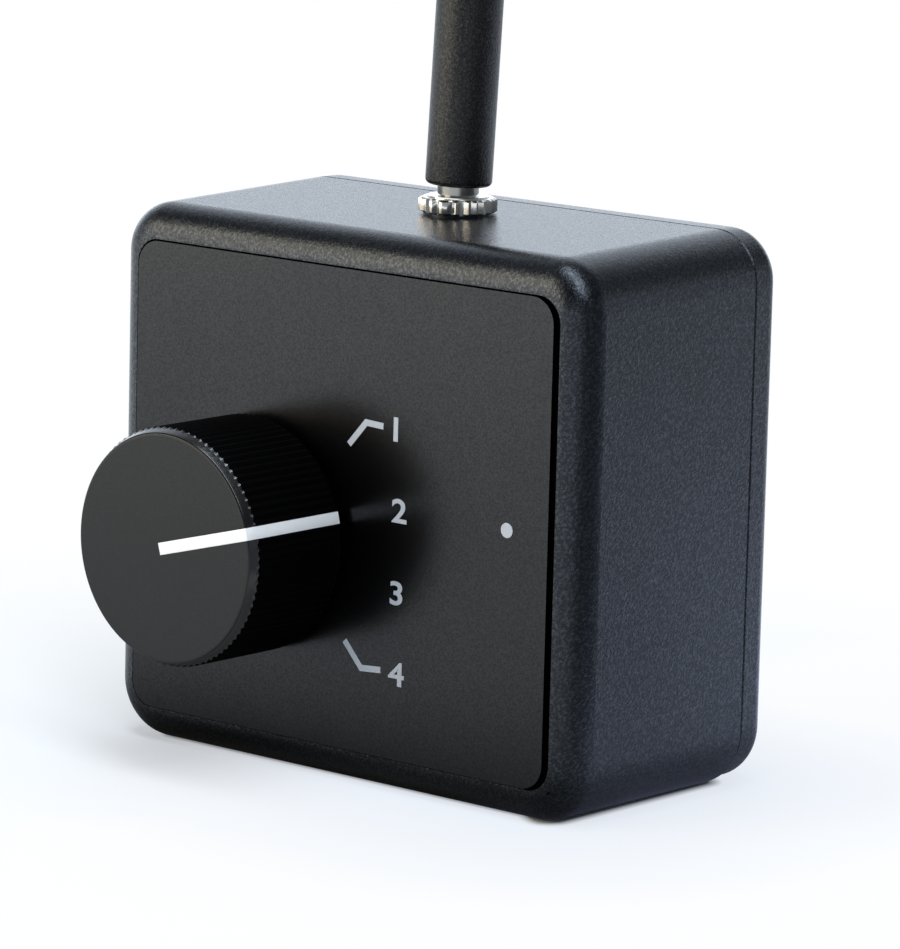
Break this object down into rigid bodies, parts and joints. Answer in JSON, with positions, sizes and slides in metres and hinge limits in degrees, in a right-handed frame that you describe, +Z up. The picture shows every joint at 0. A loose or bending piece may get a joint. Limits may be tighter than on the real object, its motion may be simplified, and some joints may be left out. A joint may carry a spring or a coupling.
{
  "type": "studio monitor selector",
  "caption": "Small desktop selector box: grained moulded shell, recessed front label, knurled pointer knob on a rotary switch, and a panel jack on top with its plug.",
  "frame": {"origin": "centre of the overall box's bottom face, on the surface the part stands on", "axes": "+Z up, -Y towards the front with the knob, +X to the right seen from the front"},
  "size_m": [0.0606, 0.0428, 0.0784],
  "materials": {
    "shell_black": "moulded grain",
    "label_grey": "satin overlay",
    "anodised_black": "black anodised",
    "paint_white": "filled line",
    "steel": "turned",
    "nickel": "nickel plated",
    "die_cast": "die cast",
    "acetal_natural": "moulded",
    "moulding_black": "moulded",
    "phenolic_brown": "moulded",
    "bronze": "sprung sheet",
    "board_green": "solder resist",
    "resistor_tan": "lacquered",
    "insulator_black": "moulded",
    "grip_black": "fine grain",
    "wire_red": "insulation",
    "wire_white": "insulation",
    "wire_black": "insulation",
    "zinc_black": "blackened"
  },
  "bodies": {
    "case": {"housing": "shell_black", "rear_cover": "shell_black", "cover_screws": "zinc_black", "front_label": "label_grey", "switch_bushing": "die_cast", "lock_washer": "steel", "switch_nut": "steel", "detent_ring": "acetal_natural", "switch_cup": "moulding_black", "switch_base": "phenolic_brown", "switch_contacts": "bronze", "circuit_board": "board_green", "coding_resistors": "resistor_tan", "jack_bushing": "nickel", "jack_nut": "nickel", "jack_frame": "moulding_black", "jack_ring_leaf": "bronze", "jack_tip_leaf": "bronze", "jack_sleeve_lug": "bronze", "tip_wire": "wire_red", "ring_wire": "wire_white", "sleeve_wire": "wire_black"},
    "selector": {"knob": "anodised_black", "pointer_line": "paint_white", "knob_set_screw": "zinc_black", "switch_shaft": "steel", "shaft_clip": "steel", "switch_rotor": "acetal_natural", "rotor_wipers": "bronze", "detent_ball": "steel", "detent_spring": "steel"},
    "plug": {"plug_sleeve": "nickel", "plug_ring": "nickel", "plug_insulators": "insulator_black", "plug_tip": "nickel", "plug_grip": "grip_black"}
  },
  "joints": [
    {"name": "selector_turn", "type": "hinge", "parent": "case", "child": "selector", "pos_m": [-0.0102, -0.0145, 0.0234], "axis": [0, 1, 0], "range_deg": [-30, 60]},
    {"name": "plug_slide", "type": "slide", "parent": "case", "child": "plug", "axis": [0, 0, 1], "range_m": [0, 0.014]}
  ]
}
